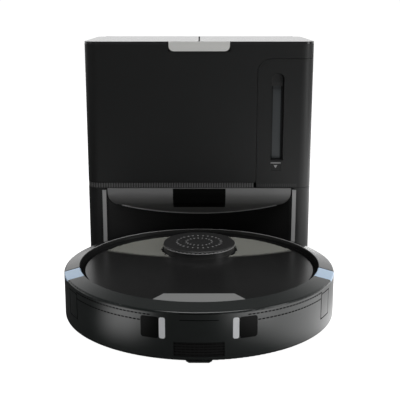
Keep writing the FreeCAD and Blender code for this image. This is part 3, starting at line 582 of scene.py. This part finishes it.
def front_pane():
    """The dark pane low at the front with its near-black ribs, and the two fine lines over it; the ribs and lines
    are painted shade.
    """
    pane_radius, rib_pitch, lowest_rib = ROBOT_RADIUS - 1.2 * MM, 3.2 * MM, 16 * MM
    curved_pad("front_pane", (-9.6, 9.6), (13.4 * MM, 31.3 * MM), 1.0 * MM, (BUMPER_INNER, pane_radius),
               FRONT_PANE, "bumper")
    for row in range(5):
        path = arc_path(pane_radius + 0.05 * MM, -9.0, 9.0, lowest_rib + rib_pitch * row)
        bars(f"front_pane_rib_{row}", path, 4.6 * MM, (4.2 * MM, 0.5 * MM, 0.3 * MM), SEAM_SHADE,
             "bumper")
    for height in (65.2, 57.6):
        bars(f"centre_line_{int(height)}", arc_path(LINE_RADIUS, -7.0, 7.0, height * MM), 1.0 * MM,
             (1.1 * MM, 0.8 * MM, LINE_DEPTH), SEAM_SHADE, "bumper")


def turret_marks():
    """Two rings of short ticks on the turret's cap and a broken line round its side."""
    centre = (TURRET.x, TURRET.y, TURRET_HIGH.z + 0.02 * MM)
    for row, (radius, pitch, across) in enumerate(((0.62, 7.4, 3.0), (0.36, 6.0, 2.4))):
        points, _ = circle_path(centre, TURRET_RADIUS * radius, "Z", 72)
        bars(f"turret_ticks_{row}", facing_up(points), pitch * MM, (1.5 * MM, across * MM, 0.12 * MM), MARK,
             "robot", closed=True)
    side_line = (TURRET.x, TURRET.y, TURRET_HIGH.z - 2.5 * MM)
    bars("turret_side_line", circle_path(side_line, TURRET_RADIUS, "Z"), 6.2 * MM,
         (3.4 * MM, 0.6 * MM, 0.16 * MM), MARK, "robot", closed=True)


def tyre_tread():
    """Three rows of tread bars round each tyre, and the ribs of its hub."""
    for name in ("left", "right"):
        low, high = ends(f"tyre_{name}")
        centre = (low + high) / 2
        radius, width = (high.z - low.z) / 2, high.x - low.x
        for row in range(3):
            middle = centre + Vector(((row - 1) * width / 3, 0, 0))
            bars(f"tread_{name}_{row}", circle_path(middle, radius - 0.7 * MM, "X"), 7.2 * MM,
                 (4.0 * MM, width / 3.6, 1.1 * MM), FINISH["tyre_rubber"], f"wheel_{name}",
                 closed=True)
        hub = (high.x if name == "right" else low.x, centre.y, centre.z)
        bars(f"hub_ribs_{name}", circle_path(hub, radius * 0.55, "X", 48), 8.0 * MM,
             (1.6 * MM, 1.0 * MM, radius * 0.35), FINISH["robot_inner"], f"wheel_{name}",
             closed=True)


def brush_bristles():
    """Rows of bristle tufts that wind round the roll between its vanes."""
    low, high = ends("brush_roll")
    rows, steps, reach, margin, axle = 6, 40, 14.5 * MM, 10 * MM, 20.8 * MM
    for row in range(rows):
        points, sides = [], []
        for step in range(steps + 1):
            turn = math.radians(360 / rows * row + 40 + 10 * math.sin(PI * step / steps))
            side = Vector((0, math.cos(turn), math.sin(turn)))
            across = low.x + margin + (high.x - low.x - 2 * margin) * step / steps
            points.append(Vector((across, (low.y + high.y) / 2, axle)) + side * reach)
            sides.append(side)
        bars(f"bristle_row_{row}", (points, sides), 2.2 * MM, (0.9 * MM, 0.9 * MM, 8.0 * MM),
             FINISH["bristle"], "brush_roll")


def side_brush_tufts():
    """Short cross tufts along the three arms of the side brush."""
    hub = joint_place("side_brush_spin")
    first, spacing, height = 13 * MM, 2.2 * MM, 2.2 * MM
    for arm in range(3):
        turn = math.radians(15 + 120 * arm)
        away = Vector((math.cos(turn), math.sin(turn), 0))
        start = Vector((hub.x, hub.y, height))
        points = [start + away * (first + spacing * step) for step in range(17)]
        bars(f"side_tuft_{arm}", facing_up(points), 1.6 * MM, (0.8 * MM, 7.5 * MM, 0.8 * MM),
             FINISH["bristle"], "side_brush")


# ---------------------------------------------------------------- dock details

def footprint_path(inset, height, steps=8):
    """The dock's rounded outline, inset and at one height, with outward directions."""
    low_x, high_x = DOCK_LOW.x + inset, DOCK_HIGH.x - inset
    low_y, high_y = DOCK_LOW.y + inset, DOCK_HIGH.y - inset
    radius = DOCK_CORNER - inset
    corners = [(low_x + radius, low_y + radius, 180), (high_x - radius, low_y + radius, 270),
               (high_x - radius, high_y - radius, 0), (low_x + radius, high_y - radius, 90)]
    points, sides = [], []
    for x, y, start in corners:
        for step in range(steps + 1):
            turn = math.radians(start + 90 * step / steps)
            side = Vector((math.cos(turn), math.sin(turn), 0))
            points.append(Vector((x, y, height)) + side * radius)
            sides.append(side)
    return points, sides


def vent_ribs():
    """Fine upright ribs all round the outlet band, stopping at the dust cup."""
    low, high = ends("vent_band")
    cup_low, cup_high = ends("dust_cup")
    gap = 4 * MM
    run = list(zip(*footprint_path(1.0 * MM, (low.z + high.z) / 2)))
    clear = [not (point.x > cup_low.x - gap and point.y < cup_high.y + gap) for point, _ in run]
    first = next(i for i in range(len(run)) if clear[i] and not clear[i - 1])
    order = [(first + i) % len(run) for i in range(len(run))]
    kept = [run[i] for i in order if clear[i]]
    height = kept[0][0].z
    start = (Vector((high.x + 0.2 * MM, cup_high.y + gap + 1 * MM, height)), Vector((1, 0, 0)))
    end = (Vector((cup_low.x - gap - 1 * MM, low.y - 0.2 * MM, height)), Vector((0, -1, 0)))
    bars("vent_ribs", tuple(zip(start, *kept, end)), 3.6 * MM,
         (2.0 * MM, high.z - low.z - 1.4 * MM, 1.6 * MM), VENT_RIB, "dock")


def cup_ribs():
    """The same ribs carried on, more faintly, across the lower edge of the dust cup."""
    low, high = ends("vent_band")
    cup_low, cup_high = ends("dust_cup")
    height = max((low.z + high.z) / 2, cup_low.z + 3.2 * MM)
    front = cup_low.y + 0.3 * MM
    points = [Vector((x, front, height)) for x in (cup_low.x + 3 * MM, cup_high.x - 22 * MM)]
    bars("cup_ribs", (points, [Vector((0, -1, 0))] * 2), 2.7 * MM, (1.3 * MM, 4.4 * MM, 0.8 * MM), CUP_RIB,
         "dust_cup")


def swept_bead(name, path, bead, material, body, closed=False, sides=8):
    """A round bead along a path of points; open ends are capped."""
    count = len(path)
    verts, faces = [], []
    for index, centre in enumerate(path):
        before = path[index - 1] if closed or index else centre
        after = path[(index + 1) % count] if closed or index < count - 1 else centre
        along = (after - before).normalized()
        across = along.cross(UP).normalized()
        up = across.cross(along)
        for side in range(sides):
            turn = 2 * PI * side / sides
            verts.append(centre + across * bead * math.cos(turn) + up * bead * math.sin(turn))
    for index in range(count if closed else count - 1):
        start, after = index * sides, (index + 1) % count * sides
        for side in range(sides):
            step = (side + 1) % sides
            faces.append((start + side, after + side, after + step, start + step))
    if not closed:
        faces.append(tuple(range(sides)))
        faces.append(tuple(reversed(range(len(verts) - sides, len(verts)))))
    return shade_smooth(piece(name, verts, faces, material, body), 50)


def hood_rim():
    """A painted highlight: a soft light grey bead along the curve where the hood's slope meets the cavity wall."""
    front = ends("docking_hood")[0].y
    wall, slope, front_height, reach, lift = 179.0 * MM, 0.55, 122.9 * MM, 57.0, 0.4 * MM
    steps, flat_end = 64, 16 * MM
    path = []
    for step in range(steps + 1):
        turn = math.radians(reach * (2 * step / steps - 1))
        x, y = wall * math.sin(turn), ROBOT.y + wall * math.cos(turn)
        if y > front + flat_end:
            path.append(Vector((x, y, front_height - slope * (y - front) + lift)))
    swept_bead("hood_rim_highlight_bead", path, 1.3 * MM, HOOD_RIM_HIGHLIGHT, "dock")


def turret_rim():
    """A painted highlight: a light grey bead at the lower lip of the turret's cap."""
    points, _ = circle_path((TURRET.x, TURRET.y, TURRET_HIGH.z - 3.6 * MM), TURRET_RADIUS - 0.2 * MM, "Z")
    swept_bead("turret_lip", points, 0.55 * MM, HIGHLIGHT_AND_MARK_GREY, "robot", closed=True)


def latch_marks():
    """A painted highlight along the top edge of the cup's latch, and a plain arrow printed on it."""
    low, high = ends("cup_latch")
    front = low.y - 0.05 * MM
    plain_box("latch_top_highlight", (low.x, front, high.z - 1.5 * MM), (high.x, low.y + 1 * MM, high.z - 0.1 * MM),
              HIGHLIGHT_AND_MARK_GREY, "cup_latch")
    middle, top = (low.x + high.x) / 2, high.z - 4 * MM
    verts = [(middle + x * MM, y, top + z * MM) for y in (front, low.y + 1 * MM)
             for x, z in ((-2.6, 0), (2.6, 0), (0, -4.2))]
    faces = [(0, 2, 1), (3, 4, 5), (0, 1, 4, 3), (1, 2, 5, 4), (2, 0, 3, 5)]
    piece("latch_arrow", verts, faces, HIGHLIGHT_AND_MARK_GREY, "cup_latch")


def plain_box(name, low, high, material, body):
    """A closed box between two corners, its faces outwards."""
    verts = [(x, y, z) for z in (low[2], high[2]) for y in (low[1], high[1]) for x in (low[0], high[0])]
    faces = [(0, 2, 3, 1), (4, 5, 7, 6), (0, 1, 5, 4), (1, 3, 7, 5), (3, 2, 6, 7), (2, 0, 4, 6)]
    return piece(name, verts, faces, material, body)


def edge_strips():
    """Painted highlights: light grey strips on the inner edges of the two pillars beside the docking bay."""
    low, high = ends("tower_shell")
    bay_side, pillar_edge, proud = 134.2 * MM, 139.6 * MM, 0.3 * MM
    for name, near, far in (("left", -pillar_edge, -bay_side), ("right", bay_side, pillar_edge)):
        plain_box(f"edge_strip_{name}", (near, low.y - proud, low.z + 2 * MM),
                  (far, low.y + 1.2 * MM, high.z - 3 * MM), HIGHLIGHT_AND_MARK_GREY, "dock")


def lid_groove():
    """The groove from the finger tab to the back of the lid, drawn as a near-black strip of painted shade."""
    low, high = ends("top_lid")
    half, deep, top = 1.0 * MM, 0.5 * MM, high.z - 0.25 * MM
    plain_box("lid_groove_strip", (-half, low.y + 4.2 * MM, top - deep), (half, high.y - 3 * MM, top),
              SEAM_SHADE, "lid")


def filter_pleats():
    """Upright folds of paper across the filter, inside a stiff frame."""
    low, high = ends("exhaust_filter")
    frame_width, rise, end_gap = 6 * MM, 5 * MM, 3 * MM
    in_low_x, in_high_x = low.x + frame_width, high.x - frame_width
    in_low_y, in_high_y = low.y + frame_width, high.y - frame_width
    height = high.z + rise / 2 - 0.5 * MM
    points = [Vector((x, (low.y + high.y) / 2, height)) for x in (in_low_x + end_gap, in_high_x - end_gap)]
    bars("filter_pleats", facing_up(points), 7 * MM, (2.6 * MM, in_high_y - in_low_y, rise),
         FINISH["filter_paper"], "dock")
    sides = (("left", low.x, in_low_x, low.y, high.y), ("right", in_high_x, high.x, low.y, high.y),
             ("front", in_low_x, in_high_x, low.y, in_low_y),
             ("back", in_low_x, in_high_x, in_high_y, high.y))
    for name, x0, x1, y0, y1 in sides:
        plain_box(f"filter_frame_{name}", (x0, y0, high.z - 0.2 * MM), (x1, y1, high.z + rise + 1 * MM),
                  FINISH["robot_inner"], "dock")


def bumper_leaves():
    """The two bowed leaf springs behind the bumper, each on a mesh of its own."""
    foot, crown, thickness, low, high = 168.7 * MM, 171.8 * MM, 0.5 * MM, 40 * MM, 52 * MM
    half_way = (foot + crown) / 2
    arch = ((4.0, foot), (5.6, half_way), (7.2, crown), (8.8, crown), (10.4, half_way), (12.0, foot))
    for side, name in ((-1, "left"), (1, "right")):
        verts = [on_ring(radius + extra, side * angle, height) for angle, radius in arch
                 for extra in (0.0, thickness) for height in (low, high)]
        faces = strip_faces(len(arch))
        if side < 0:
            faces = [tuple(reversed(face)) for face in faces]
        leaf = piece(f"bumper_leaf_{name}", verts, faces, FINISH["spring_steel"], "robot",
                     ("bumper_springs",))
        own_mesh(leaf)


def ring_inner_lip():
    """A painted highlight: a thin light grey bead at the inside edge of the rear half of the ring."""
    height = ends("rear_ring")[1].z - 0.25 * MM
    points, _ = arc_path(156.2 * MM, 112, 248, height, 60)
    swept_bead("rear_ring_lip", points, 0.5 * MM, HIGHLIGHT_AND_MARK_GREY, "robot")


def slot_cap():
    """The lighter rounded panel at the top of the cup's grip slot, above its window."""
    low, high = ends("cup_window")
    middle, front = (low.x + high.x) / 2, low.y - 0.35 * MM
    reach, arch_height, thickness, steps = 7.6 * MM, 298.2 * MM, 3 * MM, 16
    outline = [(-reach, high.z), (reach, high.z)]
    outline += [(reach * math.cos(PI * step / steps), arch_height + reach * math.sin(PI * step / steps))
                for step in range(steps + 1)]
    verts = [(middle + x, y, z) for y in (front - thickness, front) for x, z in outline]
    count = len(outline)
    faces = [tuple(range(count)), tuple(reversed(range(count, 2 * count)))]
    faces += [(i, i + count, (i + 1) % count + count, (i + 1) % count) for i in range(count)]
    piece("slot_cap", verts, faces, SLOT_CAP, "dust_cup")


# ---------------------------------------------------------------- studio

def area_light(name, place, aim, size, power):
    """A rectangular lamp at a place, turned to a point."""
    data = bpy.data.lights.new(name, "AREA")
    data.shape = "RECTANGLE"
    data.size, data.size_y = size
    data.energy = power
    lamp = bpy.data.objects.new(name, data)
    lamp.location = place
    lamp.rotation_euler = (Vector(aim) - Vector(place)).to_track_quat("-Z", "Y").to_euler()
    bpy.context.scene.collection.objects.link(lamp)


def smooth_step(tree, value, start, end, low=0.0, high=1.0):
    """A soft step from low to high as the value goes from start to end."""
    if start > end:
        start, end, low, high = end, start, high, low
    ramp = tree.nodes.new("ShaderNodeMapRange")
    ramp.interpolation_type = "SMOOTHSTEP"
    for label, number in (("From Min", start), ("From Max", end), ("To Min", low), ("To Max", high)):
        ramp.inputs[label].default_value = number
    tree.links.new(value, ramp.inputs["Value"])
    return ramp.outputs["Result"]


def floor_glow_group():
    """Where light cards lie on the floor: a wide one and a small one at the right, one at the front left."""
    group, given, out = new_group(
        "floor_glow", [("Right Gain", "NodeSocketFloat", 2.3), ("Left Gain", "NodeSocketFloat", 3.4)],
        [("Glow", "NodeSocketFloat")])
    coords = group.nodes.new("ShaderNodeTexCoord").outputs["Object"]
    split = group.nodes.new("ShaderNodeSeparateXYZ")
    group.links.new(coords, split.inputs[0])
    x, y = split.outputs["X"], split.outputs["Y"]

    def product(first, second):
        return math_node(group, "MULTIPLY", first, second)

    def card(place_x, place_y, reach):
        away = group.nodes.new("ShaderNodeVectorMath")
        away.operation = "DISTANCE"
        away.inputs[1].default_value = (place_x, place_y, 0.0)
        group.links.new(coords, away.inputs[0])
        return smooth_step(group, away.outputs["Value"], reach, reach * 0.3)

    wide = product(smooth_step(group, x, 0.10, 0.20), smooth_step(group, y, -0.75, -0.5))
    wide = product(wide, smooth_step(group, x, 1.25, 0.95))
    beside_dock = product(smooth_step(group, y, -0.15, 0.0), smooth_step(group, x, 0.55, 0.35))
    dimmed = math_node(group, "MULTIPLY_ADD", beside_dock, -0.6, 1.0)
    far = smooth_step(group, x, 0.45, 0.6, 1.0, 1.6)
    wide = product(wide, product(dimmed, far))
    right = math_node(group, "MULTIPLY_ADD", card(0.21, -0.42, 0.16), 1.15, wide)
    left = card(-0.235, -0.31, 0.13)
    total = math_node(group, "ADD", product(right, given.outputs["Right Gain"]),
                      product(left, given.outputs["Left Gain"]))
    group.links.new(total, out.inputs["Glow"])
    return group


def room():
    """A soft room, bright behind the dock and dimmer in front and overhead, before white paper."""
    world = bpy.data.worlds.new("studio")
    bpy.context.scene.world = world
    world.use_nodes = True
    tree = world.node_tree
    tree.nodes.clear()
    out = tree.nodes.new("ShaderNodeOutputWorld")
    coords = tree.nodes.new("ShaderNodeTexCoord")
    split = tree.nodes.new("ShaderNodeSeparateXYZ")
    tree.links.new(coords.outputs["Generated"], split.inputs[0])
    behind = smooth_step(tree, split.outputs["Y"], -0.2, 0.75, 0.06, 1.0)
    overhead = smooth_step(tree, split.outputs["Z"], 0.38, 0.68, 1.0, 0.22)
    glow = tree.nodes.new("ShaderNodeBackground")
    glow.inputs["Color"].default_value = (1, 1, 1, 1)
    tree.links.new(math_node(tree, "MULTIPLY", behind, overhead), glow.inputs["Strength"])
    paper = tree.nodes.new("ShaderNodeBackground")
    paper.inputs["Color"].default_value = (1, 1, 1, 1)
    paper.inputs["Strength"].default_value = 1.05
    mix = tree.nodes.new("ShaderNodeMixShader")
    light_path = tree.nodes.new("ShaderNodeLightPath")
    tree.links.new(light_path.outputs["Is Camera Ray"], mix.inputs[0])
    tree.links.new(glow.outputs[0], mix.inputs[1])
    tree.links.new(paper.outputs[0], mix.inputs[2])
    tree.links.new(mix.outputs[0], out.inputs["Surface"])


def paper_floor():
    """A plain white floor; in glossy reflections it is dark apart from its light cards."""
    material = bpy.data.materials.new("floor_paper")
    half = 4.0
    floor = piece("floor", [(-half, -half, 0), (half, -half, 0), (half, half, 0), (-half, half, 0)],
                  [(0, 1, 2, 3)], material, None)
    material.use_nodes = True
    tree = material.node_tree
    shader = next(node for node in tree.nodes if node.type == "BSDF_PRINCIPLED")
    shader.inputs["Roughness"].default_value = 0.9
    shader.inputs["Emission Color"].default_value = (1, 1, 1, 1)
    path = tree.nodes.new("ShaderNodeLightPath")
    glow = tree.nodes.new("ShaderNodeGroup")
    glow.node_tree = floor_glow_group()
    strength = math_node(tree, "MULTIPLY_ADD", path.outputs["Is Glossy Ray"], glow.outputs["Glow"],
                         path.outputs["Is Camera Ray"])
    tree.links.new(strength, shader.inputs["Emission Strength"])
    mute = tree.nodes.new("ShaderNodeMix")
    mute.data_type = "RGBA"
    tree.links.new(path.outputs["Is Glossy Ray"], mute.inputs["Factor"])
    for socket, grey in (("A", 0.75), ("B", 0.04)):
        mute.inputs[socket].default_value = (grey, grey, grey, 1)
    tree.links.new(mute.outputs["Result"], shader.inputs["Base Color"])


def lamps():
    """A large key light overhead and a soft box at each side."""
    area_light("key", (0.1, -0.7, 1.9), (0, -0.05, 0.1), (1.6, 0.9), 20)
    area_light("right_box", (1.3, -0.5, 0.55), (0, 0, 0.15), (0.5, 1.2), 5)
    area_light("left_box", (-1.5, -0.7, 0.6), (0, -0.1, 0.12), (0.4, 1.2), 0.8)


def camera():
    """A long lens in front of the robot, looking slightly down."""
    data = bpy.data.cameras.new("camera")
    data.lens = 74.05
    data.sensor_width = 36.0
    holder = bpy.data.objects.new("camera", data)
    holder.location = (1.1 * MM, -1.105, 0.3987)
    holder.rotation_euler = (math.radians(76.70), 0, 0)
    bpy.context.scene.collection.objects.link(holder)
    bpy.context.scene.camera = holder
    bpy.context.scene.view_settings.view_transform = "Standard"


finish_cad_nodes()
bumper_side(-1, "left")
bumper_side(1, "right")
front_pane()
turret_marks()
inlay_dots()
tyre_tread()
brush_bristles()
side_brush_tufts()
vent_ribs()
hood_rim()
turret_rim()
latch_marks()
edge_strips()
slot_cap()
cup_ribs()
lid_groove()
filter_pleats()
bumper_leaves()
ring_inner_lip()
room()
paper_floor()
lamps()
camera()
